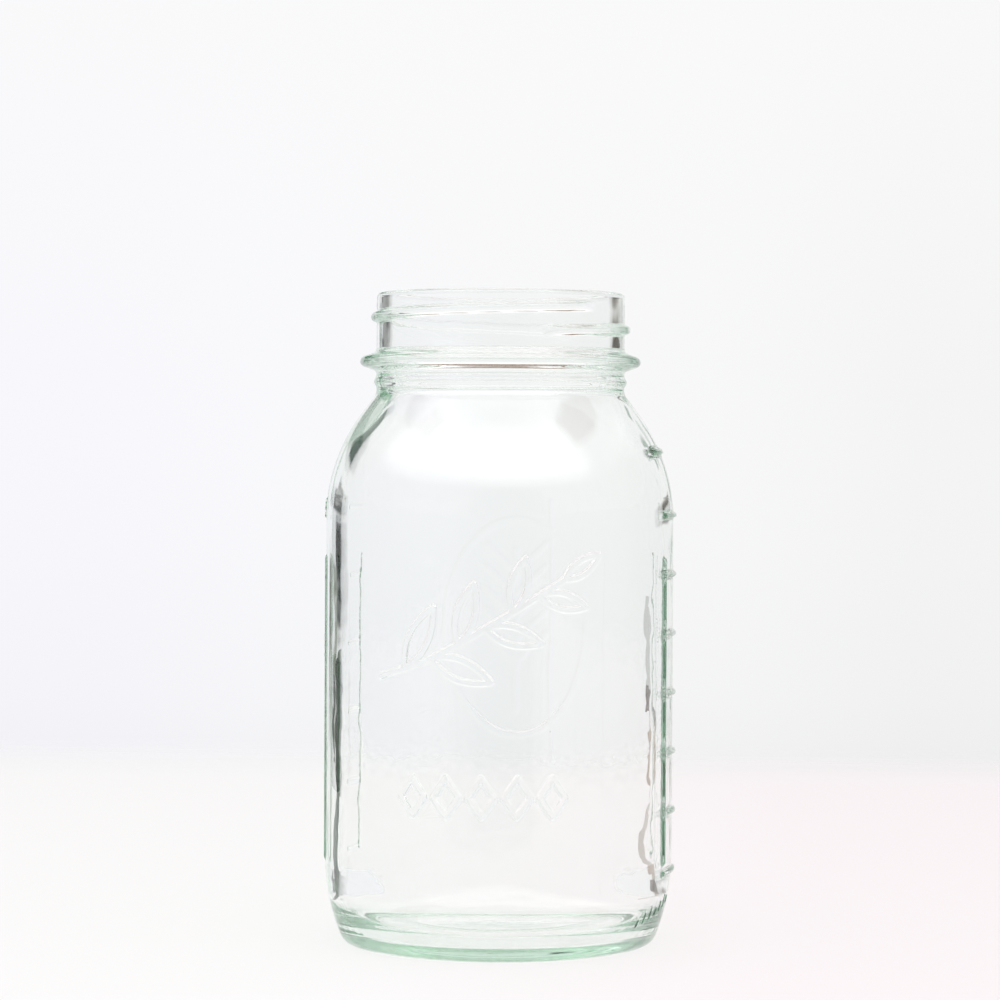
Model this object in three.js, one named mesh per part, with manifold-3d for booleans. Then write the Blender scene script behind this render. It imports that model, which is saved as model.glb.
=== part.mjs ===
// A one-quart glass preserving jar with a continuous-thread finish, moulded in one piece.
// Millimetres, +Z up. The origin is the middle of the ring it stands on, and the front emblem faces -Y.
import * as THREE from "three";
import { mergeVertices } from "three/addons/utils/BufferGeometryUtils.js";
import Module from "manifold-3d";

// Overall sizes.
const HEIGHT = 177.4;
const BODY_RADIUS = 47.6;
const BODY_WALL = 2.8;
const ROUND_SEGMENTS = 48;

// Base: a flat standing ring with a shallow pushed-up middle inside it.
const RING_INNER_RADIUS = 37.8;
const RING_OUTER_RADIUS = 40.1;
const RING_STEP = 0.9;
const PUSH_UP = 2.2;
const BASE_CORNER_RADIUS = 3.5;
const HEEL_START = 24.4;
const FLOOR_EDGE_HEIGHT = 4.6;
const FLOOR_MIDDLE_HEIGHT = 5.6;
const FLOOR_CORNER_RADIUS = 11;

// Shoulder: an arc that runs from the straight body up to a conical run below the neck.
const SHOULDER_RADIUS = 48.4;
const SHOULDER_START = 115.5;
const SHOULDER_ANGLE = THREE.MathUtils.degToRad(37);

// Neck and finish.
const NECK_RADIUS = 33.75;
const NECK_FILLET = 2.5;
const BORE_RADIUS = 30.5;
const FINISH_RADIUS = 33.9;
const BEAD_HEIGHT = 158.6;
const BEAD_RADIUS = 38.35;
const BEAD_TIP_RADIUS = 1.6;
const BEAD_FLANK = 3;
const RIM_OUTER_CORNER = 1.1;
const RIM_INNER_CORNER = 1;

// Thread: one right-hand start, sinking into the neck at both ends.
const THREAD_PITCH = 6.35;
const THREAD_CREST_RADIUS = 35.5;
const THREAD_TUBE_RADIUS = 1.35;
const THREAD_FIRST_TURN = -66 / 360;
const THREAD_LAST_TURN = 324 / 360;
const THREAD_HEIGHT_AT_ZERO = 167.4;
const THREAD_RUN_OUT = 14 / 360;
const THREAD_SINK = 1.9;

// Raised work on the body: how wide each line is and how far it stands out.
const EMBLEM_LINE = { width: 2, height: 0.6 };
const BACK_LINE = { width: 1.8, height: 0.4 };
const SCALE_LINE = { width: 2.2, height: 0.9 };
const FIGURE_LINE = { width: 1.3, height: 0.6 };
const LINE_SIDES = 6;
const LINE_STEP = 5;
const FIGURE_STEP = 2.6;

// The sides: ribs, ticks and figures, placed by their angle round the body from the front.
const RIB_ANGLES = [74, 112.5, -76.5, -112.5];
const RIB_BOTTOM = 23.8;
const RIB_TOP = 105;
const MILLILITRE_TICK = { first: 20.6, spacing: 16.1, count: 7, from: 74, to: 97, figureAt: 104 };
const CUP_TICK = { first: 23.7, spacing: 19.05, count: 6, from: -112.5, to: -97, figureAt: -87 };
const FIGURE_SIZE = { width: 3, height: 5.4 };

const wasm = await Module();
wasm.setup();

// A closed three.js geometry as a solid.
function solidFrom(geometry) {
  const bare = geometry.clone();
  bare.deleteAttribute("normal");
  bare.deleteAttribute("uv");
  const merged = mergeVertices(bare, 1e-4);
  const corners = merged.index.array;
  const kept = [];
  for (let i = 0; i < corners.length; i += 3) {
    const [a, b, c] = corners.slice(i, i + 3);
    if (a !== b && b !== c && c !== a) kept.push(a, b, c);
  }
  const mesh = new wasm.Mesh({
    numProp: 3,
    vertProperties: new Float32Array(merged.attributes.position.array),
    triVerts: new Uint32Array(kept),
  });
  return new wasm.Manifold(mesh);
}

// A solid as a three.js geometry.
function geometryFrom(solid) {
  const mesh = solid.getMesh();
  const geometry = new THREE.BufferGeometry();
  geometry.setAttribute("position", new THREE.BufferAttribute(mesh.vertProperties, 3));
  geometry.setIndex(new THREE.BufferAttribute(mesh.triVerts, 1));
  geometry.computeVertexNormals();
  return geometry;
}

// Points of an arc in the (radius, height) half plane. Angles are in radians from the outward direction.
function arc(centreRadius, centreHeight, radius, from, to, steps) {
  const points = [];
  for (let i = 0; i <= steps; i++) {
    const angle = from + ((to - from) * i) / steps;
    points.push(
      new THREE.Vector2(centreRadius + radius * Math.cos(angle), centreHeight + radius * Math.sin(angle)),
    );
  }
  return points;
}

const point = (radius, height) => new THREE.Vector2(radius, height);
const RIGHT_ANGLE = Math.PI / 2;

// Underside and outer wall, from the middle of the base up to the neck.
function outerBodyProfile() {
  const heelRadius = 60;
  const heelAngle = Math.asin((HEEL_START - BASE_CORNER_RADIUS) / (heelRadius - BASE_CORNER_RADIUS));
  const slopeStart = SHOULDER_START + SHOULDER_RADIUS * Math.sin(SHOULDER_ANGLE);
  const slopeRadius = BODY_RADIUS - SHOULDER_RADIUS * (1 - Math.cos(SHOULDER_ANGLE));
  const slopeTop = slopeStart + (slopeRadius - NECK_RADIUS) / Math.tan(SHOULDER_ANGLE);
  const filletReach = NECK_FILLET * Math.tan(SHOULDER_ANGLE / 2);
  return [
    point(0, PUSH_UP),
    point(RING_INNER_RADIUS * 0.55, PUSH_UP - 0.5),
    point(RING_INNER_RADIUS - RING_STEP, RING_STEP),
    point(RING_INNER_RADIUS, 0),
    ...arc(RING_OUTER_RADIUS, BASE_CORNER_RADIUS, BASE_CORNER_RADIUS, -RIGHT_ANGLE, -heelAngle, 3),
    ...arc(BODY_RADIUS - heelRadius, HEEL_START, heelRadius, -heelAngle, 0, 4).slice(1),
    ...arc(BODY_RADIUS - SHOULDER_RADIUS, SHOULDER_START, SHOULDER_RADIUS, 0, SHOULDER_ANGLE, 5),
    ...arc(
      NECK_RADIUS + NECK_FILLET,
      slopeTop + filletReach,
      NECK_FILLET,
      Math.PI + SHOULDER_ANGLE,
      Math.PI,
      2,
    ),
  ];
}

// Bead, finish wall and rim, from the neck up and over into the bore.
function finishProfile() {
  const beadCentre = BEAD_RADIUS - BEAD_TIP_RADIUS;
  const flankAngle = RIGHT_ANGLE * 0.9;
  return [
    point(NECK_RADIUS, BEAD_HEIGHT - BEAD_FLANK),
    ...arc(beadCentre, BEAD_HEIGHT, BEAD_TIP_RADIUS, -flankAngle, flankAngle, 4),
    point(FINISH_RADIUS, BEAD_HEIGHT + BEAD_FLANK),
    ...arc(
      FINISH_RADIUS - RIM_OUTER_CORNER,
      HEIGHT - RIM_OUTER_CORNER,
      RIM_OUTER_CORNER,
      0,
      RIGHT_ANGLE,
      2,
    ),
    ...arc(
      BORE_RADIUS + RIM_INNER_CORNER,
      HEIGHT - RIM_INNER_CORNER,
      RIM_INNER_CORNER,
      RIGHT_ANGLE,
      Math.PI,
      2,
    ),
  ];
}

// Bore, inner shoulder, inner wall and floor, from the rim down to the middle of the floor.
function innerProfile() {
  const wallRadius = BODY_RADIUS - BODY_WALL;
  const shoulderRadius = SHOULDER_RADIUS - BODY_WALL;
  const slopeStart = SHOULDER_START + shoulderRadius * Math.sin(SHOULDER_ANGLE);
  const slopeRadius = wallRadius - shoulderRadius * (1 - Math.cos(SHOULDER_ANGLE));
  const slopeTop = slopeStart + (slopeRadius - BORE_RADIUS) / Math.tan(SHOULDER_ANGLE);
  const filletReach = NECK_FILLET * Math.tan(SHOULDER_ANGLE / 2);
  return [
    ...arc(
      BORE_RADIUS + NECK_FILLET,
      slopeTop + filletReach,
      NECK_FILLET,
      Math.PI,
      Math.PI + SHOULDER_ANGLE,
      2,
    ),
    ...arc(BODY_RADIUS - SHOULDER_RADIUS, SHOULDER_START, shoulderRadius, SHOULDER_ANGLE, 0, 5),
    ...arc(
      wallRadius - FLOOR_CORNER_RADIUS,
      FLOOR_EDGE_HEIGHT + FLOOR_CORNER_RADIUS,
      FLOOR_CORNER_RADIUS,
      0,
      -RIGHT_ANGLE,
      5,
    ),
    point(0, FLOOR_MIDDLE_HEIGHT),
  ];
}

// The jar turned from its profile, with its axis along Z.
function turnedJar() {
  const profile = [...outerBodyProfile(), ...finishProfile(), ...innerProfile()];
  const geometry = new THREE.LatheGeometry(profile, ROUND_SEGMENTS);
  geometry.rotateX(RIGHT_ANGLE);
  return solidFrom(geometry);
}

// The centre line of the thread. Its ends move in towards the axis, so that the thread sinks into the neck.
class ThreadLine extends THREE.Curve {
  getPoint(t, target = new THREE.Vector3()) {
    const turn = THREE.MathUtils.lerp(THREAD_FIRST_TURN, THREAD_LAST_TURN, t);
    const fromEnd = Math.min(turn - THREAD_FIRST_TURN, THREAD_LAST_TURN - turn);
    const sunk = THREAD_SINK * (1 - THREE.MathUtils.smoothstep(fromEnd, 0, THREAD_RUN_OUT));
    const radius = THREAD_CREST_RADIUS - THREAD_TUBE_RADIUS - sunk;
    const angle = turn * 2 * Math.PI;
    const height = THREAD_HEIGHT_AT_ZERO + THREAD_PITCH * turn;
    return target.set(radius * Math.cos(angle), radius * Math.sin(angle), height);
  }
}

// A regular polygon in a circle, as the section of a line.
function roundSection(radius, sides) {
  const corners = [];
  for (let i = 0; i < sides; i++) {
    const angle = (i * 2 * Math.PI) / sides;
    corners.push(new THREE.Vector2(radius * Math.cos(angle), radius * Math.sin(angle)));
  }
  return new THREE.Shape(corners);
}

// A round bar along a curve.
function barAlong(path, radius, steps, sides) {
  const section = roundSection(radius, sides);
  return solidFrom(new THREE.ExtrudeGeometry(section, { steps, extrudePath: path, bevelEnabled: false }));
}

// A flat curve wrapped round the body: x is the distance round from the front, y is the height.
class WrappedCurve extends THREE.Curve {
  constructor(flat, radius) {
    super();
    this.flat = flat;
    this.radius = radius;
  }
  getPoint(t, target = new THREE.Vector3()) {
    const flatPoint = this.flat.getPoint(t);
    const angle = flatPoint.x / BODY_RADIUS;
    return target.set(this.radius * Math.sin(angle), -this.radius * Math.cos(angle), flatPoint.y);
  }
}

// A raised line on the body: a round bar sunk until only its top stands out by the line's height. An upright
// line is straight, so it takes one step.
function raisedLine(flat, line, step = LINE_STEP) {
  const barRadius = (line.width ** 2 / 4 + line.height ** 2) / (2 * line.height);
  const path = new WrappedCurve(flat, BODY_RADIUS + line.height - barRadius);
  const upright = Math.abs(flat.getTangent(0).x) < 1e-6 && flat.isLineCurve;
  const steps = upright ? 1 : Math.max(1, Math.round(flat.getLength() / step));
  return barAlong(path, barRadius, steps, LINE_SIDES);
}

const round = (degrees) => THREE.MathUtils.degToRad(degrees) * BODY_RADIUS;
const flatLine = (x0, y0, x1, y1) => new THREE.LineCurve(point(x0, y0), point(x1, y1));

// The two edges of a pointed leaf.
function leafEdges(x, y, direction, length, width) {
  const along = point(Math.cos(direction), Math.sin(direction));
  const across = point(-along.y, along.x);
  const base = point(x, y);
  const tip = base.clone().addScaledVector(along, length);
  const middle = base.clone().addScaledVector(along, length * 0.45);
  return [1, -1].map((side) => {
    const bulge = middle.clone().addScaledVector(across, side * width);
    return new THREE.QuadraticBezierCurve(base, bulge, tip);
  });
}

// A stem with leaves in turn on each side and one at its tip.
function sprigLines(stem, leaves, leafLength, leafWidth) {
  const lines = [stem];
  for (let i = 0; i < leaves; i++) {
    const t = 0.14 + (0.72 * i) / (leaves - 1);
    const foot = stem.getPoint(t);
    const tangent = stem.getTangent(t);
    const side = i % 2 === 0 ? 1 : -1;
    const shrink = 1 - 0.35 * t;
    const direction = Math.atan2(tangent.y, tangent.x) + side * THREE.MathUtils.degToRad(46);
    lines.push(...leafEdges(foot.x, foot.y, direction, leafLength * shrink, leafWidth * shrink));
  }
  const tip = stem.getPoint(1);
  const lean = stem.getTangent(1);
  lines.push(...leafEdges(tip.x, tip.y, Math.atan2(lean.y, lean.x), leafLength * 0.62, leafWidth * 0.62));
  return lines;
}

// Front: a leafy sprig that climbs to the right, over a row of five lozenges.
function frontLines() {
  const stem = new THREE.SplineCurve([point(-29, 75), point(-14, 80), point(4, 90), point(22, 101)]);
  const lines = sprigLines(stem, 6, 19, 6);
  for (let i = -2; i <= 2; i++) {
    const corners = [point(-3.5, 0), point(0, 5), point(3.5, 0), point(0, -5)];
    corners.forEach((corner) => corner.add(point(i * 9.4, 44)));
    corners.forEach((corner, k) => lines.push(new THREE.LineCurve(corner, corners[(k + 1) % 4])));
  }
  return lines;
}

// Back: an ear of grain standing in an oval, with its grains in pairs.
function backLines() {
  const middle = point(round(180), 84);
  const oval = (from, to) => new THREE.EllipseCurve(middle.x, middle.y, 22, 31, from, to);
  const lines = [oval(0, Math.PI * 1.01), oval(Math.PI, Math.PI * 2.01)];
  lines.push(flatLine(middle.x, middle.y - 24, middle.x, middle.y + 22));
  for (let i = 0; i < 5; i++) {
    const foot = middle.y - 10 + i * 6.4;
    for (const side of [1, -1]) {
      lines.push(flatLine(middle.x, foot, middle.x + side * 9, foot + 8));
    }
  }
  return lines;
}

// Strokes of the figures 1 to 7 in a box one unit wide and one unit high.
const FIGURES = {
  1: [[[0.25, 0.8], [0.55, 1]], [[0.55, 1], [0.55, 0]]],
  2: [[[0.05, 0.78], [0.5, 1.02], [0.92, 0.74], [0.5, 0.36], [0.05, 0]], [[0.05, 0], [0.95, 0]]],
  3: [[[0.08, 0.9], [0.55, 1], [0.88, 0.76], [0.4, 0.54]], [[0.4, 0.54], [0.94, 0.28], [0.5, 0], [0.05, 0.14]]],
  4: [[[0.72, 0], [0.72, 1]], [[0.72, 1], [0.05, 0.3]], [[0.05, 0.3], [0.98, 0.3]]],
  5: [[[0.85, 1], [0.2, 1]], [[0.2, 1], [0.14, 0.56]], [[0.14, 0.56], [0.62, 0.62], [0.9, 0.3], [0.5, 0], [0.08, 0.1]]],
  6: [[[0.8, 1], [0.3, 0.7], [0.12, 0.3], [0.5, 0], [0.88, 0.3], [0.5, 0.56], [0.16, 0.36]]],
  7: [[[0.05, 1], [0.95, 1]], [[0.95, 1], [0.4, 0]]],
};

// The strokes of one figure, centred on a place on the body.
function figureLines(figure, x, y) {
  return FIGURES[figure].map((stroke) => {
    const points = stroke.map(([u, v]) =>
      point(x + (u - 0.5) * FIGURE_SIZE.width, y + (v - 0.5) * FIGURE_SIZE.height),
    );
    return new THREE.SplineCurve(points);
  });
}

// Ribs and ticks of both measuring scales.
function scaleLines() {
  const lines = [];
  for (const angle of RIB_ANGLES) {
    lines.push(flatLine(round(angle), RIB_BOTTOM, round(angle), RIB_TOP));
  }
  for (const scale of [MILLILITRE_TICK, CUP_TICK]) {
    for (let i = 0; i < scale.count; i++) {
      const height = scale.first + i * scale.spacing;
      lines.push(flatLine(round(scale.from), height, round(scale.to), height));
    }
  }
  return lines;
}

// Figures beside the ticks: hundreds of millilitres on one side, whole cups on the other.
function figureWork() {
  const lines = [];
  for (let i = 0; i < MILLILITRE_TICK.count; i++) {
    const height = MILLILITRE_TICK.first + i * MILLILITRE_TICK.spacing;
    lines.push(...figureLines(i + 1, round(MILLILITRE_TICK.figureAt), height));
  }
  for (let cups = 1; cups <= 3; cups++) {
    const height = CUP_TICK.first + (2 * cups - 1) * CUP_TICK.spacing;
    lines.push(...figureLines(cups, round(CUP_TICK.figureAt), height));
  }
  return lines;
}

function buildJar() {
  const threadSteps = 44;
  const bars = [
    barAlong(new ThreadLine(), THREAD_TUBE_RADIUS, threadSteps, LINE_SIDES + 2),
    ...frontLines().map((flat) => raisedLine(flat, EMBLEM_LINE)),
    ...backLines().map((flat) => raisedLine(flat, BACK_LINE)),
    ...scaleLines().map((flat) => raisedLine(flat, SCALE_LINE)),
    ...figureWork().map((flat) => raisedLine(flat, FIGURE_LINE, FIGURE_STEP)),
  ];
  return bars.reduce((jar, bar) => jar.add(bar), turnedJar());
}

const glass = new THREE.MeshStandardMaterial({
  color: 0xdfeee7,
  roughness: 0.04,
  metalness: 0,
  transparent: true,
  opacity: 0.35,
});
const jar = new THREE.Mesh(geometryFrom(buildJar()), glass);
jar.name = "glass_jar";

const object = new THREE.Group();
object.add(jar);

export default object;
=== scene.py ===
"""An open one-quart glass preserving jar on a pale table. Metres, +Z up, the front emblem faces -Y."""
import math

import bpy
import numpy as np
from mathutils import Euler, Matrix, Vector
from mathutils.geometry import delaunay_2d_cdt


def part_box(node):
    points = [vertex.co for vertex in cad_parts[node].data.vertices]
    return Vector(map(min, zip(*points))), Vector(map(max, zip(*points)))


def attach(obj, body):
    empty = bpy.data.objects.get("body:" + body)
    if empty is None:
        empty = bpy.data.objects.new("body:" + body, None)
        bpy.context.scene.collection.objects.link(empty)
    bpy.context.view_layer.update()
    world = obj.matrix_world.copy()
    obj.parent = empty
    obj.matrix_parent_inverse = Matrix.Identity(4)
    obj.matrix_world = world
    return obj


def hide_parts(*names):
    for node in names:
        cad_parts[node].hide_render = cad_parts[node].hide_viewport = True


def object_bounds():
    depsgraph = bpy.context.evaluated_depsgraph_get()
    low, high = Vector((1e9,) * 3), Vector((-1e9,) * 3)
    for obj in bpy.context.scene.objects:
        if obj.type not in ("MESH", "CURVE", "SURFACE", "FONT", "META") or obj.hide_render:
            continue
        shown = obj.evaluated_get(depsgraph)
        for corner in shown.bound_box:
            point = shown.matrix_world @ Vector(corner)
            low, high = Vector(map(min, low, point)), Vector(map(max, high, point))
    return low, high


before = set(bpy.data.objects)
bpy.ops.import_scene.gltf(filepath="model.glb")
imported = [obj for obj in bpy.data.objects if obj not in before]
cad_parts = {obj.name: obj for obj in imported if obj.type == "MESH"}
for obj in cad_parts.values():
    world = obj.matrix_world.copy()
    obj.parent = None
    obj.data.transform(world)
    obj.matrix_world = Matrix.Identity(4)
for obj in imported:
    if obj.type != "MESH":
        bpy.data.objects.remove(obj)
cad_low, cad_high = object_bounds()

# ---------------------------------------------------------------- sizes, in millimetres
jar_low, jar_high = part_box("glass_jar")
MM = 0.001
HEIGHT = (jar_high[2] - jar_low[2]) / MM
EMBLEM_RISE = 0.6                                           # of the emblem on the CAD's front
BODY = (jar_high[1] - jar_low[1]) / MM / 2 - EMBLEM_RISE    # radius of the plain body, 0.1 under the CAD's
WALL = 3.3
LEAN = 0.55                                                 # how far the inside stands towards +X
THICKER = 2.1                                               # extra glass inside the left of the shoulder
COLUMNS = 288                                               # columns of the round grids

# Base: underside, standing ring, corner, and the heel's slow curve up to the body.
PUSH_UP = 1.52                                              # middle of the underside
RING_OUT, CORNER = 40.1, 3.5                                # outer edge of the standing ring, corner radius
RING_MIDDLE = 39.2
HEEL_R, HEEL_Z = 60.0, 24.4
FLOOR_Z, FLOOR_R = 3.5, 11.0                                # inside: floor height, the floor's corner radius
FLOOR_MIDDLE = 0.95                                         # how much higher the floor is in the middle

# The part of the body that is meshed unrolled, with its raised work.
BODY_LOW, BODY_HIGH = 6.0, 121.5
ROUND = 2 * math.pi * BODY
SEAM_U = math.radians(150) * BODY                           # where it is cut, measured from the front

SHOULDER_R, SHOULDER_Z, SHOULDER_A = 48.4, 115.5, math.radians(37)

# Finish: hung from the rim. Thread angles are from the +X side.
FINISH, BORE, NECK = 33.9, 30.5, 33.75                      # radii of the wall, the bore and the neck
FINISH_LOW = 3.4                                            # foot of the wall, above the middle of the bead
LIP = 3.0                                                   # the rounded rim starts this far below the top
BEAD, BEAD_R, BEAD_Z = 38.35, 1.6, HEIGHT - 18.8
THREAD_CREST, THREAD_HALF, THREAD_PITCH, THREAD_Z = 35.5, 1.5, 6.35, HEIGHT - 10.0
THREAD_FIRST, THREAD_LAST, THREAD_RUN_OUT = math.radians(-66), math.radians(324), math.radians(13)
BACK_FIRST, BACK_LAST, BACK_EASE = math.radians(8), math.radians(172), math.radians(25)
BACK_FLATTER = 0.72                                         # share of the thread's height lost round the back


def smooth(x):
    x = np.clip(x, 0, 1)
    return x * x * (3 - 2 * x)


def wrap(u):
    """Unrolled distance brought to the range that starts at the cut."""
    return np.mod(u - SEAM_U, ROUND) + SEAM_U


def wrap_angle(a):
    return (a + math.pi) % (2 * math.pi) - math.pi


# ---------------------------------------------------------------- profile of the jar, as (radius, height)
def arc(cx, cz, r, a0, a1, n):
    a = np.linspace(a0, a1, n)
    return [(cx + r * math.cos(t), cz + r * math.sin(t)) for t in a]


def resample(points, step):
    """Points at even steps along a line through the given ones."""
    p = np.array(points, float)
    d = np.r_[0, np.cumsum(np.hypot(*np.diff(p, axis=0).T))]
    n = max(2, int(round(d[-1] / step)) + 1)
    s = np.linspace(0, d[-1], n)
    return np.stack([np.interp(s, d, p[:, 0]), np.interp(s, d, p[:, 1])], 1)


def polish(points, step, passes):
    """Even steps along a profile, with its corners eased."""
    q = resample(points, step)
    for _ in range(passes):
        q[1:-1] = (q[:-2] + 2 * q[1:-1] + q[2:]) / 4
    return q


def heel_radius(z):
    """Outer radius of the heel and body at a height above the base corner."""
    drop = np.clip(HEEL_Z - z, 0, None)
    return BODY - HEEL_R + np.sqrt(HEEL_R ** 2 - drop ** 2)


def shoulder_radius(z, inset=0.0):
    """Radius of the body and shoulder at a height, on the outside or a distance inside it."""
    r = SHOULDER_R - inset
    climb = np.clip(z - SHOULDER_Z, 0, r * math.sin(SHOULDER_A))
    return BODY - SHOULDER_R + np.sqrt(r ** 2 - climb ** 2)


def under_profile():
    """From near the middle of the underside, over the standing ring and up the corner to the heel."""
    heel_angle = math.asin((HEEL_Z - CORNER) / (HEEL_R - CORNER))
    pts = [(3.0, 1.5), (20, 1.4), (32, 1.25), (35.6, 1.0), (36.9, 0.6), (37.5, 0.2), (38.1, 0.0)]
    pts += [(RING_MIDDLE, 0.0)] + arc(RING_OUT, CORNER, CORNER, -math.pi / 2, -heel_angle, 9)
    z_corner = pts[-1][1]
    pts += [(float(heel_radius(z)), z) for z in np.linspace(z_corner + 0.8, BODY_LOW, 5)]
    return polish(pts, 1.15, 1)


def shoulder_profile():
    """From the top of the unrolled body, over the shoulder, neck ring and bead to the foot of the thread."""
    top = SHOULDER_Z + SHOULDER_R * math.sin(SHOULDER_A)
    pts = [(float(shoulder_radius(z)), z) for z in np.linspace(BODY_HIGH, top, 14)]
    r, z = pts[-1]
    z += (r - NECK - 0.35) / math.tan(SHOULDER_A)
    pts += [(NECK + 0.35, z), (NECK + 0.1, z + 0.8)]
    ring = BEAD_Z - 5.4                                     # a narrow ring stands under the bead
    pts += [(NECK + 0.05, ring - 1.4), (NECK + 0.75, ring - 0.7), (NECK + 0.8, ring + 0.5)]
    pts += [(NECK + 0.1, ring + 1.1), (NECK + 0.15, BEAD_Z - 2.6)]
    pts += arc(BEAD - BEAD_R, BEAD_Z, BEAD_R, -1.35, 1.35, 9)
    pts += [(FINISH + 0.15, BEAD_Z + 2.6), (FINISH, BEAD_Z + FINISH_LOW)]
    return polish(pts, 0.45, 2)


def rim_profile():
    """Up over the rim, from the outside to the inside."""
    outer, inner = 1.1, 1.0                                 # radii of its two corners
    pts = [(FINISH, HEIGHT - LIP)]
    pts += arc(FINISH - outer, HEIGHT - outer, outer, 0, math.pi / 2, 6)
    pts += arc(BORE + inner, HEIGHT - inner, inner, math.pi / 2, math.pi, 6)
    pts += [(BORE, HEIGHT - LIP)]
    return polish(pts, 0.25, 1)


def inner_profile():
    """From just inside the rim, down the bore and the wall to near the middle of the floor."""
    wall = BODY - WALL
    slope_start = SHOULDER_Z + (SHOULDER_R - WALL) * math.sin(SHOULDER_A)
    slope_radius = float(shoulder_radius(slope_start, WALL))
    top = slope_start + (slope_radius - BORE) / math.tan(SHOULDER_A)
    pts = [(BORE, HEIGHT - LIP), (BORE + 0.05, BEAD_Z), (BORE + 0.1, top + 3.0), (BORE + 0.5, top + 0.9)]
    pts += [(BORE + 1.6, top - 1.4)]
    pts += [(float(shoulder_radius(z, WALL)), z) for z in np.linspace(slope_start, SHOULDER_Z, 14)]
    pts += [(wall, 60.0), (wall, FLOOR_Z + FLOOR_R)]
    pts += arc(wall - FLOOR_R, FLOOR_Z + FLOOR_R, FLOOR_R, 0, -math.pi / 2, 12)
    pts += [(16, FLOOR_Z + 0.5), (3.0, FLOOR_Z + 0.9)]
    return polish(pts, 1.8, 2)


# ---------------------------------------------------------------- raised lines, on the unrolled body
class Line:
    """A raised line. half: half its width at mid height. flank: width of a sloping side. step: sampling."""
    def __init__(self, points, half, rise, flank=0.4, step=0.6):
        self.p = np.array(points, float)
        self.half = half
        self.rise = rise
        self.flank = flank
        self.step = step

    def samples(self):
        """Points in rows beside the line and round its ends, closest together on its sloping sides."""
        mid = resample(self.p, self.step)
        tan = np.gradient(mid, axis=0)
        tan /= np.maximum(np.hypot(*tan.T)[:, None], 1e-9)
        nor = np.stack([-tan[:, 1], tan[:, 0]], 1)
        q = self.flank / 4
        rows = [self.half - 3 * q, self.half - 2 * q, self.half - q, self.half,
                self.half + q, self.half + 2 * q, self.half + 2 * q + 0.3]
        rows = [r for r in rows if r > 0.12]
        out = [mid]
        for r in rows:
            out += [mid + nor * r, mid - nor * r]
        for end, direction in ((mid[0], -tan[0]), (mid[-1], tan[-1])):
            base = math.atan2(direction[1], direction[0])
            for r in rows:
                a = base + np.linspace(-1.25, 1.25, max(3, int(r * 2.5 / self.step) + 2))
                out.append(end + r * np.stack([np.cos(a), np.sin(a)], 1))
        return np.vstack(out)


def bezier(a, b, c, n=12):
    t = np.linspace(0, 1, n)[:, None]
    a, b, c = map(np.array, (a, b, c))
    return (1 - t) ** 2 * a + 2 * t * (1 - t) * b + t ** 2 * c


def spline(points, n=60):
    """A smooth curve through points, by chained cubic pieces."""
    p = np.array(points, float)
    e = np.vstack([2 * p[0] - p[1], p, 2 * p[-1] - p[-2]])
    out = []
    k = max(2, n // (len(p) - 1))
    for i in range(1, len(e) - 2):
        t = np.linspace(0, 1, k, endpoint=False)[:, None]
        a, b, c, d = e[i - 1], e[i], e[i + 1], e[i + 2]
        out.append(0.5 * (2 * b + (c - a) * t + (2 * a - 5 * b + 4 * c - d) * t ** 2
                          + (3 * b - a - 3 * c + d) * t ** 3))
    return np.vstack(out + [p[-1:]])


def leaf(foot, direction, length, width):
    along = np.array([math.cos(direction), math.sin(direction)])
    across = np.array([-along[1], along[0]])
    tip = foot + along * length
    middle = foot + along * length * 0.45
    return [bezier(foot, middle + s * across * width, tip) for s in (1, -1)]


def at(curve, t):
    """Point and heading at a fraction of a curve's length."""
    d = np.r_[0, np.cumsum(np.hypot(*np.diff(curve, axis=0).T))]
    s = np.interp(t * d[-1], d, np.arange(len(d)))
    i = min(int(s), len(curve) - 2)
    p = curve[i] + (curve[i + 1] - curve[i]) * (s - i)
    v = curve[i + 1] - curve[i]
    return p, math.atan2(v[1], v[0])


def around(degrees):
    """Unrolled distance of a bearing from the front, +X side positive."""
    return math.radians(degrees) * BODY


def front_lines():
    """A leafy sprig that climbs to the right, over a row of five lozenges."""
    look = dict(half=0.78, rise=0.52, flank=0.46)
    length, width, spread = 19, 6, math.radians(46)
    stem = spline([(-29, 75), (-14, 80), (4, 90), (22, 101)])
    curves = [stem]
    for i in range(6):
        t = 0.14 + 0.72 * i / 5
        foot, heading = at(stem, t)
        side = 1 if i % 2 == 0 else -1
        shrink = 1 - 0.35 * t
        curves += leaf(foot, heading + side * spread, length * shrink, width * shrink)
    foot, heading = at(stem, 1)
    shrink = 0.62
    curves += leaf(foot, heading, length * shrink, width * shrink)
    lines = [Line(c, **look) for c in curves]
    pitch, half_width, z, half_height = 9.4, 3.5, 44, 5
    for i in range(-2, 3):
        x = i * pitch
        corners = [(x - half_width, z), (x, z + half_height), (x + half_width, z), (x, z - half_height)]
        lines += [Line(pair, **look) for pair in zip(corners, corners[1:] + corners[:1])]
    return lines


def back_lines():
    """A faint ear of grain in a fainter oval."""
    look = dict(half=0.9, flank=0.9, step=1.0)
    cx, cz, half_width, half_height = math.pi * BODY, 84.0, 22, 31
    a = np.linspace(0, 2 * math.pi, 73)
    oval = np.stack([cx + half_width * np.cos(a), cz + half_height * np.sin(a)], 1)
    lines = [Line(oval, rise=0.09, **look), Line([(cx, cz - 24), (cx, cz + 22)], rise=0.12, **look)]
    for i in range(5):
        foot = cz - 10 + i * 6.4
        for s in (1, -1):
            lines.append(Line([(cx, foot), (cx + s * 9, foot + 8)], rise=0.12, **look))
    return lines


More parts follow.
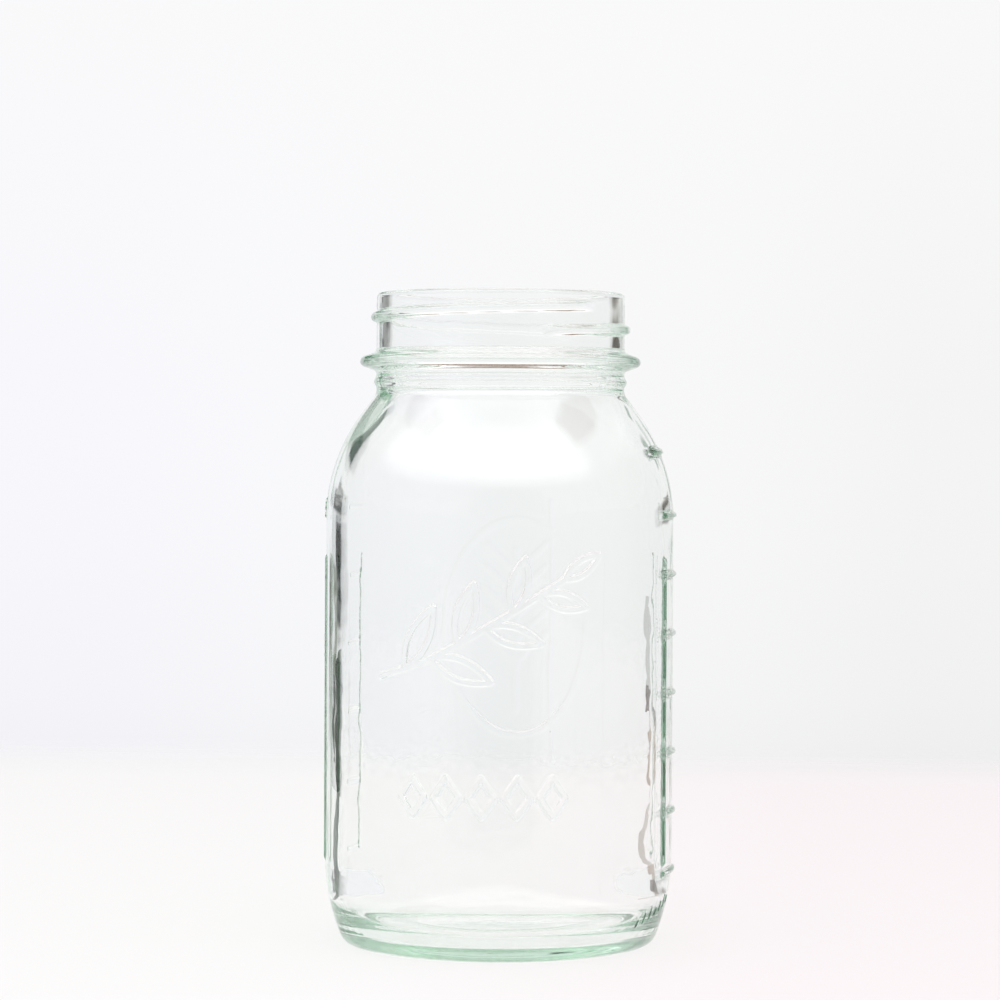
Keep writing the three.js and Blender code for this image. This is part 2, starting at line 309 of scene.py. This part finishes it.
# Strokes of the scales' figures, in a unit box.
FIGURES = {
    1: [[(.25, .8), (.55, 1)], [(.55, 1), (.55, 0)]],
    2: [[(.05, .78), (.5, 1.02), (.92, .74), (.5, .36), (.05, 0)], [(.05, 0), (.95, 0)]],
    3: [[(.08, .9), (.55, 1), (.88, .76), (.4, .54)], [(.4, .54), (.94, .28), (.5, 0), (.05, .14)]],
    4: [[(.72, 0), (.72, 1)], [(.72, 1), (.05, .3)], [(.05, .3), (.98, .3)]],
    5: [[(.85, 1), (.2, 1)], [(.2, 1), (.14, .56)], [(.14, .56), (.62, .62), (.9, .3), (.5, 0), (.08, .1)]],
    6: [[(.8, 1), (.3, .7), (.12, .3), (.5, 0), (.88, .3), (.5, .56), (.16, .36)]],
    7: [[(.05, 1), (.95, 1)], [(.95, 1), (.4, 0)]],
}
FIGURE_W, FIGURE_H = 3.0, 5.4

RIBS = ((74, 0.9), (112.5, 0.9), (-76.5, 0.45), (-110.5, 0.6))      # degrees from the front, rise
RIB_LOW, RIB_HIGH = 23.8, 105
TICK_RISE, TICK_FIRST, TICK_PITCH = 0.9, 20.6, 16.1         # right-hand scale, one tick for each 100 ml
CUP_RISE, CUP_FIRST, CUP_PITCH = 0.16, 23.7, 19.05          # left-hand scale, one tick for each half cup


def figure(n, x, z):
    out = []
    for stroke in FIGURES[n]:
        pts = [(x + (u - .5) * FIGURE_W, z + (v - .5) * FIGURE_H) for u, v in stroke]
        out.append(Line(spline(pts, 24) if len(pts) > 2 else pts, half=0.45, rise=0.5, flank=0.35, step=0.4))
    return out


def side_lines():
    lines = []
    for a, rise in RIBS:
        ends = [(around(a), RIB_LOW), (around(a), RIB_HIGH)]
        lines.append(Line(ends, half=0.75, rise=rise, flank=1.1, step=1.6))
    for i in range(7):
        z = TICK_FIRST + TICK_PITCH * i
        lines.append(Line([(around(74), z), (around(97), z)], half=0.65, rise=TICK_RISE, flank=0.9, step=0.9))
        lines += figure(i + 1, around(104), z)
    for i in range(6):
        z = CUP_FIRST + CUP_PITCH * i
        ends = [(around(-110.5), z), (around(-97), z)]
        lines.append(Line(ends, half=0.6, rise=CUP_RISE, flank=0.9, step=0.9))
        if i % 2 == 1:
            lines += figure(i // 2 + 1, around(-87), z)
    # The faint, crooked ghost of the first mould's joint.
    z = np.linspace(46, 120, 30)
    ghost = np.stack([around(167) + 0.5 * np.sin(z / 9), z], 1)
    lines.append(Line(ghost, half=0.5, rise=0.14, flank=0.8, step=1.2))
    # Short slanting strokes low on the heel.
    for i in range(7):
        u, z = around(60 + 4 * i), 7.6 + 0.75 * i
        ends = [(u, z), (u + 0.7, z + 1.6 + 0.7 * (i % 3))]
        lines.append(Line(ends, half=0.22, rise=0.24, flank=0.4, step=0.5))
    return lines


LINES = front_lines() + back_lines() + side_lines()
REACH = 12                                                  # distances to a line are worked out up to here
FAR = 1e9


def rise_at(u, z):
    """Height of the raised work at unrolled points, and distance to the nearest line less its half width."""
    h = np.zeros(len(u))
    near = np.full(len(u), FAR)
    for line in LINES:
        p = line.p.copy()
        p[:, 0] = wrap(p[:, 0].mean()) - p[:, 0].mean() + p[:, 0]
        lo, hi = p.min(0) - REACH, p.max(0) + REACH
        idx = np.nonzero((u > lo[0]) & (u < hi[0]) & (z > lo[1]) & (z < hi[1]))[0]
        if not len(idx):
            continue
        q = np.stack([u[idx], z[idx]], 1)
        best = np.full(len(idx), FAR)
        for a, b in zip(p[:-1], p[1:]):
            ab = b - a
            t = np.clip(((q - a) @ ab) / max(ab @ ab, 1e-12), 0, 1)
            best = np.minimum(best, np.hypot(*(q - a - t[:, None] * ab).T))
        reach = line.half + line.flank / 2
        h[idx] = np.maximum(h[idx], line.rise * smooth((reach - best) / line.flank))
        near[idx] = np.minimum(near[idx], best - reach)
    return h, near


# ---------------------------------------------------------------- mesh of the jar
verts = []
faces = []
COLUMN_U = SEAM_U + ROUND * np.arange(COLUMNS) / COLUMNS
COLUMN_ANGLE = COLUMN_U / BODY                              # from the front, +X side positive


def add_ring(radius, z):
    """One ring of the round grid. radius and z may be numbers or one value per column."""
    start = len(verts)
    r = np.broadcast_to(radius, COLUMNS)
    zz = np.broadcast_to(z, COLUMNS)
    verts.extend(zip(r * np.sin(COLUMN_ANGLE), -r * np.cos(COLUMN_ANGLE), zz))
    return start


def join_rings(a, b):
    for i in range(COLUMNS):
        j = (i + 1) % COLUMNS
        faces.append((a + i, a + j, b + j, b + i))


def wobble(z, amount, seed):
    """Slow unevenness of blown glass, one value per column."""
    rng = np.random.default_rng(seed)
    out = np.zeros(COLUMNS)
    for k in range(1, 7):
        ph, pz, kz = rng.uniform(0, 6.28), rng.uniform(0, 6.28), rng.uniform(0.02, 0.11)
        wave = np.cos(k * COLUMN_ANGLE + ph + 1.3 * math.sin(kz * z + pz))
        out += wave * math.cos(kz * z * 0.7 + pz) / k ** 0.7
    return out * amount / 2.2


def thread_bump(z):
    """Height of the thread on the finish at one height, one value per column."""
    out = np.zeros(COLUMNS)
    phi = COLUMN_ANGLE - math.pi / 2                        # 0 on +X, -90 degrees at the front
    for turn in (-2, -1, 0, 1, 2):
        a = phi + 2 * math.pi * turn
        inside = smooth((a - THREAD_FIRST) / THREAD_RUN_OUT) * smooth((THREAD_LAST - a) / THREAD_RUN_OUT)
        d = np.abs(z - (THREAD_Z + THREAD_PITCH * a / (2 * math.pi)))
        shape = np.sqrt(np.clip(1 - (d / THREAD_HALF) ** 2, 0, 1)) * smooth((1.55 - d) / 0.55)
        back = smooth((a - BACK_FIRST) / BACK_EASE) * smooth((BACK_LAST - a) / BACK_EASE)
        out = np.maximum(out, (THREAD_CREST - FINISH) * inside * shape * (1 - BACK_FLATTER * back))
    return out


def seam_bump():
    """The fine joint of the two mould halves."""
    joints = (math.radians(100), math.radians(-80))
    d = np.minimum(*(np.abs(wrap_angle(COLUMN_ANGLE - a)) for a in joints))
    return 0.12 * np.exp(-(d * BODY / 0.8) ** 2)


def shoulder_tick(z):
    """The topmost graduation, on the slope of the shoulder."""
    a = np.degrees(wrap_angle(COLUMN_ANGLE))
    span = smooth((a - 73) / 3) * smooth((100 - a) / 3)
    return TICK_RISE * span * float(smooth((1.2 - abs(z - 134.6)) / 0.8))


def base_relief(r, z):
    """Fine notches round the standing ring, and a ring of low pips inside it."""
    if 36.5 < r < 41.5 and z < 1.2:
        return 0.06 * (0.5 + 0.5 * np.cos(60 * COLUMN_ANGLE)) * math.exp(-((r - RING_MIDDLE) / 1.3) ** 2)
    if 24.5 < r < 29.5:
        return 0.14 * (0.5 + 0.5 * np.cos(72 * COLUMN_ANGLE + 2.2 * math.sin(r)))
    return 0.0


def inner_offset(i, r, z):
    """How far ring i of the inside stands from its profile: blown glass is uneven and leans."""
    ease = float(smooth(i / 12) * smooth(r / 30))
    lean = LEAN * float(smooth((150 - z) / 20)) * np.sin(COLUMN_ANGLE)
    # Thick glass inside the left of the shoulder.
    beside = wrap_angle(COLUMN_ANGLE + 1.6)
    thick = THICKER * math.exp(-((z - 144) / 6.5) ** 2) * np.exp(-(beside / 0.6) ** 2)
    return ease * (wobble(z, 0.16, 5) + lean - thick)


# Underside: a fan, then rings.
centre_low = len(verts)
verts.append((0, 0, PUSH_UP))
previous = None
for r, z in under_profile()[:-1]:
    ring = add_ring(r, z + base_relief(r, z))
    if previous is None:
        for i in range(COLUMNS):
            faces.append((centre_low, ring + i, ring + (i + 1) % COLUMNS)[::-1])
    else:
        join_rings(previous, ring)
    previous = ring

# Body: scattered points on the unrolled surface, close together only on the raised lines.
low_ring = add_ring(float(heel_radius(BODY_LOW)), BODY_LOW)
join_rings(previous, low_ring)
high_ring = add_ring(float(shoulder_radius(BODY_HIGH)), BODY_HIGH)
u_low, u_high = SEAM_U, SEAM_U + ROUND
side_z = np.linspace(BODY_LOW, BODY_HIGH, 48)[1:-1]


def lattice(step, keep_low, keep_high):
    """Points of a triangular lattice whose distance from the raised lines is in a range."""
    rows = np.arange(BODY_LOW + step * 0.5, BODY_HIGH - step * 0.3, step * 0.866)
    cols = np.arange(u_low + step * 0.6, u_high - step * 0.6, step)
    u, z = np.meshgrid(cols, rows)
    u = u + (np.arange(len(rows)) % 2)[:, None] * step * 0.5
    u, z = u.ravel(), z.ravel()
    ok = (u < u_high - step * 0.4)
    u, z = u[ok], z[ok]
    _, near = rise_at(u, z)
    ok = (near > keep_low) & (near <= keep_high)
    return np.stack([u[ok], z[ok]], 1)


def line_points():
    """The raised lines' own sample points, none closer together than a tenth of a millimetre."""
    fine = np.vstack([line.samples() for line in LINES])
    fine[:, 0] = wrap(fine[:, 0])
    fine = fine[(fine[:, 1] > BODY_LOW + 0.25) & (fine[:, 1] < BODY_HIGH - 0.25)]
    _, first = np.unique(np.round(fine / 0.1).astype(int), axis=0, return_index=True)
    return fine[np.sort(first)]


n_edge, n_side = COLUMNS + 1, len(side_z)
edge_u = np.r_[COLUMN_U, u_high]
flat = np.vstack([
    np.stack([edge_u, np.full(n_edge, BODY_LOW)], 1), np.stack([edge_u, np.full(n_edge, BODY_HIGH)], 1),
    np.stack([np.full(n_side, u_low), side_z], 1), np.stack([np.full(n_side, u_high), side_z], 1),
    line_points(), lattice(1.1, 0.45, 2.2), lattice(2.6, 2.6, FAR)])
result = delaunay_2d_cdt([Vector(p) for p in flat], [], [], 0, 1e-6)
triangles, origin = result[2], result[3]

# The low and high edges are the two rings, and the points on both sides of the cut are the same ones.
cut = 2 * n_edge
rest = cut + 2 * n_side
body_index = np.empty(len(flat), int)
body_index[:n_edge] = low_ring + np.arange(n_edge) % COLUMNS
body_index[n_edge:cut] = high_ring + np.arange(n_edge) % COLUMNS
body_index[cut:cut + n_side] = body_index[cut + n_side:rest] = len(verts) + np.arange(n_side)
body_index[rest:] = len(verts) + n_side + np.arange(len(flat) - rest)
keep = np.r_[np.arange(cut, cut + n_side), np.arange(rest, len(flat))]
rise, _ = rise_at(flat[:, 0], flat[:, 1])
uu, zz = flat[keep].T
rr = np.where(zz < HEEL_Z, heel_radius(zz), shoulder_radius(zz)) + rise[keep]
verts.extend(zip(rr * np.sin(uu / BODY), -rr * np.cos(uu / BODY), zz))
for f in triangles:
    ids = [origin[v][0] for v in f]
    a, b, c = (flat[i] for i in ids)
    flip = (b[0] - a[0]) * (c[1] - a[1]) - (b[1] - a[1]) * (c[0] - a[0]) < 0
    faces.append(tuple(int(body_index[i]) for i in (ids[::-1] if flip else ids)))

# Shoulder, neck ring and bead; finish wall with the thread; rim; inside.
upper = [(r + seam_bump() + shoulder_tick(z), z) for r, z in shoulder_profile()[1:]]
finish_z = np.linspace(BEAD_Z + FINISH_LOW, HEIGHT - LIP, 48)[1:]
upper += [(FINISH + thread_bump(z) + 0.5 * seam_bump(), z) for z in finish_z]
upper += [(r, z) for r, z in rim_profile()[1:]]
upper += [(r + inner_offset(i, r, z), z) for i, (r, z) in enumerate(inner_profile()[1:])]
previous = high_ring
for radius, z in upper:
    ring = add_ring(radius, z)
    join_rings(previous, ring)
    previous = ring
centre_high = len(verts)
verts.append((0, 0, FLOOR_Z + FLOOR_MIDDLE))
for i in range(COLUMNS):
    faces.append((previous + i, previous + (i + 1) % COLUMNS, centre_high))


def add_object(name, points, polygons):
    mesh = bpy.data.meshes.new(name)
    mesh.from_pydata(points, [], polygons)
    ob = bpy.data.objects.new(name, mesh)
    bpy.context.scene.collection.objects.link(ob)
    return ob


jar = add_object("jar_glass", [(x * MM, y * MM, z * MM + jar_low[2]) for x, y, z in verts], faces)
jar.data.validate()
jar.data.shade_smooth()
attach(jar, "root")
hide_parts("glass_jar")


# ---------------------------------------------------------------- node helpers
class Nodes:
    """One node tree, emptied. Any input takes a number, a tuple or another node's output."""
    def __init__(self, owner):
        owner.use_nodes = True
        self.tree = owner.node_tree
        self.tree.nodes.clear()

    def add(self, kind, inputs, **settings):
        """A node by kind; inputs maps socket names or numbers to values."""
        node = self.tree.nodes.new(kind)
        for key, value in settings.items():
            setattr(node, key, value)
        for key, value in inputs.items():
            if isinstance(value, bpy.types.NodeSocket):
                self.tree.links.new(value, node.inputs[key])
            else:
                node.inputs[key].default_value = value
        return node

    def calc(self, operation, *values):
        return self.add("ShaderNodeMath", dict(enumerate(values)), operation=operation).outputs[0]

    def vector(self, operation, *values):
        return self.add("ShaderNodeVectorMath", dict(enumerate(values)), operation=operation).outputs[0]

    def spread(self, value, first, last, low=0.0, high=1.0, kind="SMOOTHSTEP"):
        """From low to high while the value goes from first to last."""
        inputs = {"Value": value, "From Min": first, "From Max": last, "To Min": low, "To Max": high}
        return self.add("ShaderNodeMapRange", inputs, interpolation_type=kind).outputs[0]

    def blend(self, kind, fac, a, b):
        """Two colours mixed."""
        a, b = ((*v, 1) if isinstance(v, tuple) else v for v in (a, b))
        return self.add("ShaderNodeMix", {0: fac, 6: a, 7: b}, data_type="RGBA", blend_type=kind).outputs[2]

    def ramp(self, source, low, high, stops):
        """A colour along a range of degrees. stops: (degrees, grey or (r, g, b))."""
        fac = self.spread(source, low, high, kind="LINEAR")
        node = self.add("ShaderNodeValToRGB", {"Fac": fac})
        stop = node.color_ramp.elements
        while len(stop) > 1:
            stop.remove(stop[-1])
        for i, (x, c) in enumerate(stops):
            place = (x - low) / (high - low)
            el = stop[0] if i == 0 else stop.new(place)
            el.position = place
            el.color = (*c, 1) if isinstance(c, tuple) else (c, c, c, 1)
        return node.outputs["Color"]

    def mix(self, fac, a, b):
        """Two shaders mixed."""
        return self.add("ShaderNodeMixShader", {"Fac": fac, 1: a, 2: b}).outputs[0]

    def clear(self):
        return self.add("ShaderNodeBsdfTransparent", {}).outputs[0]


# ---------------------------------------------------------------- glass: green in depth, clear to shadows
material = bpy.data.materials.new("clear_glass")
n = Nodes(material)
# Fine unevenness of the fire-polished skin.
coord = n.add("ShaderNodeTexCoord", {}).outputs["Object"]
noise = n.add("ShaderNodeTexNoise", {"Vector": coord, "Scale": 60, "Detail": 2}).outputs["Fac"]
bump = n.add("ShaderNodeBump", {"Strength": 0.06, "Distance": 0.002, "Height": noise}).outputs[0]
glass = n.add("ShaderNodeBsdfPrincipled", {
    "Base Color": (1, 1, 1, 1), "Transmission Weight": 1, "IOR": 1.52, "Roughness": 0.0,
    "Normal": bump}).outputs[0]
path = n.add("ShaderNodeLightPath", {}).outputs
unbent = n.calc("MAXIMUM", path["Is Shadow Ray"], path["Is Diffuse Ray"])
tint = n.add("ShaderNodeVolumeAbsorption", {"Color": (0.2, 0.56, 0.33, 1), "Density": 8.0}).outputs[0]
n.add("ShaderNodeOutputMaterial", {"Surface": n.mix(unbent, glass, n.clear()), "Volume": tint})
jar.data.materials.append(material)

# ---------------------------------------------------------------- table
TABLE_TONE = 0.735
TABLE_BACK, TABLE_FRONT, TABLE_SIDE = 0.62, -2.4, 1.6
table = add_object("table", [(-TABLE_SIDE, TABLE_FRONT, 0), (TABLE_SIDE, TABLE_FRONT, 0),
                             (TABLE_SIDE, TABLE_BACK, 0), (-TABLE_SIDE, TABLE_BACK, 0)], [(0, 1, 2, 3)])
table.location.z = float(cad_low[2]) - 0.00005              # just below the jar, so that the two don't meet
material = bpy.data.materials.new("pale_table")
n = Nodes(material)
place = n.add("ShaderNodeSeparateXYZ", {0: n.add("ShaderNodeTexCoord", {}).outputs["Object"]}).outputs
# Neutral on the left, faintly pink on the right, a little darker towards the back.
hue = n.blend("MIX", n.spread(place[0], -0.06, 0.09), (TABLE_TONE, TABLE_TONE, TABLE_TONE),
              (TABLE_TONE, TABLE_TONE * 0.955, TABLE_TONE * 0.972))
depth = n.spread(place[1], -0.15, 0.5, 1.015, 0.965, kind="LINEAR")
shade = n.add("ShaderNodeVectorMath", {0: hue, "Scale": depth}, operation="SCALE").outputs[0]
diffuse = n.add("ShaderNodeBsdfDiffuse", {"Color": shade}).outputs[0]
# The far and side edges melt into the backdrop.
back_fade = n.spread(place[1], TABLE_BACK - 0.2, TABLE_BACK)
side_fade = n.spread(n.calc("ABSOLUTE", place[0]), TABLE_SIDE - 0.5, TABLE_SIDE)
# A gap in front of the jar, which the camera doesn't see.
slant = n.calc("ABSOLUTE", n.calc("DIVIDE", place[0], place[1]))
gap = n.calc("MULTIPLY", n.spread(place[1], -0.26, -0.34), n.spread(slant, 0.6, 0.4))
unseen = n.calc("SUBTRACT", 1, n.add("ShaderNodeLightPath", {}).outputs["Is Camera Ray"])
gone = n.calc("MAXIMUM", n.calc("MAXIMUM", back_fade, side_fade), n.calc("MULTIPLY", gap, unseen))
n.add("ShaderNodeOutputMaterial", {"Surface": n.mix(gone, diffuse, n.clear())})
table.data.materials.append(material)

# ---------------------------------------------------------------- glowing cards, seen only in the glass, that paint streaks of the room's refraction and reflection at its edges
AZIMUTH = math.radians(5.5)                                 # the camera's, from the front towards the right
CARDS_AT = 0.45                                             # the upright cards' distance from the jar's axis
LEFT_EDGE, RIGHT_EDGE = 0.04, 0.0385
ALL_BOUNCES = 64


def card(name, corners, colour, deepest=4, edge=LEFT_EDGE, mirrored=False):
    """A glowing patch of colour, lighting nothing, seen only in the glass by rays that left it near its side
    edges, where it paints a streak of the room's refraction and reflection.

    deepest is the most bounces that such a ray may have made, and edge the least distance by which its line
    misses the jar's axis, seen from above. A mirrored card is seen only in reflections, and any other only
    through the glass.
    """
    ob = add_object(name, corners, [tuple(range(len(corners)))])
    material = bpy.data.materials.new(name)
    n = Nodes(material)
    deep = n.calc("GREATER_THAN", n.add("ShaderNodeLightPath", {}).outputs["Ray Depth"], deepest + 0.5)
    place = n.add("ShaderNodeNewGeometry", {}).outputs
    level = n.vector("NORMALIZE", n.vector("MULTIPLY", place["Incoming"], (1, 1, 0)))
    across = n.vector("CROSS_PRODUCT", place["Position"], level)
    miss = n.calc("ABSOLUTE", n.add("ShaderNodeSeparateXYZ", {0: across}).outputs["Z"])
    hidden = n.calc("MAXIMUM", deep, n.calc("LESS_THAN", miss, edge))
    # The card's colour glows as a painted streak in the glass, not as a lamp.
    painted_streak_glow = n.add("ShaderNodeEmission", {"Color": (*colour, 1)}).outputs[0]
    n.add("ShaderNodeOutputMaterial", {"Surface": n.mix(hidden, painted_streak_glow, n.clear())})
    ob.data.materials.append(material)
    ob.visible_camera = ob.visible_diffuse = ob.visible_shadow = False
    ob.visible_glossy = mirrored
    ob.visible_transmission = not mirrored


def polar(bearing, distance, z=0.0004):
    """A point at a bearing from the view direction, clockwise, and a distance from the jar's axis."""
    a = math.radians(bearing) - AZIMUTH
    return (distance * math.sin(a), distance * math.cos(a), z)


def upright(name, b0, b1, z0, z1, colour, **limits):
    """A standing card between two bearings and two heights."""
    corners = [polar(b, CARDS_AT, z) for b, z in ((b0, z0), (b1, z0), (b1, z1), (b0, z1))]
    card(name, corners, colour, **limits)


def lying(name, near, far, colour, **limits):
    """A card on the table. near and far: (first bearing, last bearing, distance)."""
    corners = [polar(near[0], near[2]), polar(far[0], far[2]), polar(far[1], far[2]), polar(near[1], near[2])]
    card(name, corners, colour, **limits)


# Painted streaks in the glass: dark and dark green at the left edge, dark brown, brown and grey at the right.
upright("card_left_thin", -33.5, -36.2, 0.012, 0.038, (0, 0, 0))
upright("card_left_black", -38.5, -42.5, 0, 0.047, (0, 0.003, 0))
upright("card_left_green", -42.5, -50, 0, 0.05, (0.04, 0.065, 0.04))
upright("card_left_mirror", -40, -56, 0, 0.052, (0.02, 0.03, 0.02), mirrored=True)
lying("card_left_low", (-55, -44, 0.095), (-46, -39, CARDS_AT), (0.02, 0.05, 0.03))
right = dict(deepest=ALL_BOUNCES, edge=RIGHT_EDGE)
upright("card_right", 13.5, 18.5, 0.026, 0.039, (0.05, 0.02, 0.005), **right)
upright("card_right_trail", 14.6, 19, 0, 0.026, (0.34, 0.25, 0.18), **right)
upright("card_right_soft", 13.4, 17.5, 0.039, 0.078, (0.5, 0.5, 0.49), **right)
lying("card_right_low", (15, 18, 0.16), (15.4, 17.4, CARDS_AT), (0.5, 0.45, 0.41), edge=RIGHT_EDGE)

# ---------------------------------------------------------------- world: bright backdrop, bright upper front
world = bpy.data.worlds.new("studio")
bpy.context.scene.world = world
n = Nodes(world)
coord = n.add("ShaderNodeTexCoord", {}).outputs["Generated"]
turn = n.add("ShaderNodeVectorRotate", {"Vector": coord, "Angle": -AZIMUTH}, rotation_type="Z_AXIS")
split = n.add("ShaderNodeSeparateXYZ", {0: turn.outputs[0]}).outputs
path = n.add("ShaderNodeLightPath", {}).outputs
# Bearing: 0 straight behind the jar, growing to the right. Elevation: above the horizon. Both in degrees.
DEGREES = 57.2958
bearing = n.calc("MULTIPLY", n.calc("ARCTAN2", split[0], split[1]), DEGREES)
elevation = n.calc("MULTIPLY", n.calc("ARCSINE", split[2]), DEGREES)

# What the camera sees directly: a pale backdrop, a little darker towards the table and to the right.
seen = n.ramp(bearing, -60, 60, [
    (-60, (0.945, 0.945, 0.95)), (-24, (0.938, 0.932, 0.972)), (-7, (0.938, 0.932, 0.972)),
    (-4, (0.947, 0.947, 0.975)), (0, (0.94, 0.94, 0.95)), (4, (0.932, 0.932, 0.934)),
    (7, 0.905), (24, 0.9), (60, (0.945, 0.945, 0.95))])
low = n.ramp(elevation, -12, 12, [
    (-12, 0.94), (-5.2, 0.95), (-4.2, 0.972), (-1.7, 0.992), (0, 1.0), (12, 1.0)])
seen = n.blend("MULTIPLY", 1.0, seen, low)
even = n.ramp(elevation, -12, 12, [(-12, 0.0), (1, 0.0), (7, 0.7), (12, 0.8)])
seen = n.blend("MIX", even, seen, (0.956, 0.955, 0.956))

# What lights the jar: the same backdrop with dark openings beside it, and a slightly darker room in front.
sides = n.ramp(bearing, -180, 180, [
    (-180, (0.79, 0.8, 0.81)), (-160, (0.8, 0.81, 0.82)), (-140, (0.9, 0.9, 0.91)), (-50, 0.95), (-19, 1.0),
    (19, 1.0), (50, 0.95), (140, (0.9, 0.9, 0.91)), (160, (0.8, 0.81, 0.82)), (180, (0.79, 0.8, 0.81))])


def bump_ramp(source, limit, first, last, soft):
    """White between two angles, black farther than soft outside them."""
    return n.ramp(source, -limit, limit, [
        (-limit, 0.0), (first - soft, 0.0), (first, 1.0), (last, 1.0), (last + soft, 0.0), (limit, 0.0)])


def patch(sky, bearings, elevations, soft, colour, deepest=4):
    """One opening of another colour, seen only by rays that have made no more bounces than deepest."""
    mask = n.blend("MULTIPLY", 1.0, bump_ramp(bearing, 180, *bearings, soft),
                   bump_ramp(elevation, 90, *elevations, soft))
    mask = n.blend("MULTIPLY", 1.0, mask, n.calc("LESS_THAN", path["Ray Depth"], deepest + 0.5))
    return n.blend("MIX", mask, sky, colour)


sky = n.blend("MULTIPLY", 1.0, sides, seen)
for opening in (
        ((-50, -33.5), (-2.4, -0.2), 1.6, (0.0, 0.0, 0.0)),
        ((-50, -25), (1.3, 2.2), 0.5, (0.03, 0.03, 0.03)),
        ((-50, -28), (2.4, 4.0), 0.4, (0.25, 0.25, 0.24)),
        ((-33, -26), (-4.6, -2.4), 1.0, (0.14, 0.17, 0.1)),
        ((-50, -14), (12, 21), 1.2, (0.03, 0.06, 0.045)),
        ((26, 50), (2.0, 2.9), 0.5, (0.45, 0.43, 0.4)),
        ((24, 52), (0.4, 2.2), 0.3, (0.06, 0.045, 0.03)),
        ((28, 31), (9, 18), 0.8, (0.25, 0.34, 0.28))):
    sky = patch(sky, *opening)
# Rays that wander long in the base see the same backdrop a shade darker.
dull = n.blend("MULTIPLY", 1.0, sky, (0.95, 0.95, 0.945))
sky = n.blend("MIX", n.calc("GREATER_THAN", path["Ray Depth"], 5.5), sky, dull)
# Above: a bright ceiling, a brown strip that the bead shows, and a brighter source high up in front.
up = n.ramp(elevation, -90, 90, [(-90, 0.0), (-14, 0.0), (22, 0.0), (32, 1.0), (90, 1.0)])
sky = n.blend("MIX", up, sky, (1.12, 1.12, 1.13))
sky = patch(sky, (-110, 110), (45, 58), 2, (0.2, 0.09, 0.03), ALL_BOUNCES)
high = n.ramp(elevation, -90, 90, [(-90, 0.0), (21, 0.0), (32, 1.0), (55, 1.0), (72, 0.0), (90, 0.0)])
front = n.ramp(bearing, -180, 180, [(-180, 1.0), (-90, 1.0), (-74, 0.0), (102, 0.0), (120, 1.0), (180, 1.0)])
source = n.blend("MULTIPLY", 1.0, n.blend("MULTIPLY", 1.0, high, front), (1.5, 1.5, 1.5))
sky = n.blend("ADD", 1.0, sky, source)
sky = n.blend("MIX", path["Is Camera Ray"], sky, seen)
background = n.add("ShaderNodeBackground", {"Color": sky}).outputs[0]
n.add("ShaderNodeOutputWorld", {"Surface": background})

# ---------------------------------------------------------------- camera
DISTANCE, LENS_HEIGHT, FOCAL_LENGTH = 0.926, 0.1354, 121.75
TILT, ROLL = math.radians(90 - 0.898), math.radians(0.3)    # looks 0.9 degrees down
camera_data = bpy.data.cameras.new("camera")
camera = bpy.data.objects.new("camera", camera_data)
bpy.context.scene.collection.objects.link(camera)
camera_data.sensor_width = 36
camera_data.lens = FOCAL_LENGTH
camera_data.clip_start, camera_data.clip_end = 0.05, 20
camera.location = (DISTANCE * math.sin(AZIMUTH), -DISTANCE * math.cos(AZIMUTH), LENS_HEIGHT)
camera.rotation_mode = "QUATERNION"
look = Euler((TILT, 0, AZIMUTH), "XYZ").to_quaternion()
camera.rotation_quaternion = look @ Euler((0, 0, ROLL), "XYZ").to_quaternion()
bpy.context.scene.camera = camera

view = bpy.context.scene.view_settings
view.view_transform = "Standard"
view.look = "None"
# Light crosses many walls of glass before it leaves the jar.
cycles = bpy.context.scene.cycles
cycles.max_bounces = cycles.transmission_bounces = cycles.glossy_bounces = ALL_BOUNCES
cycles.transparent_max_bounces = 24
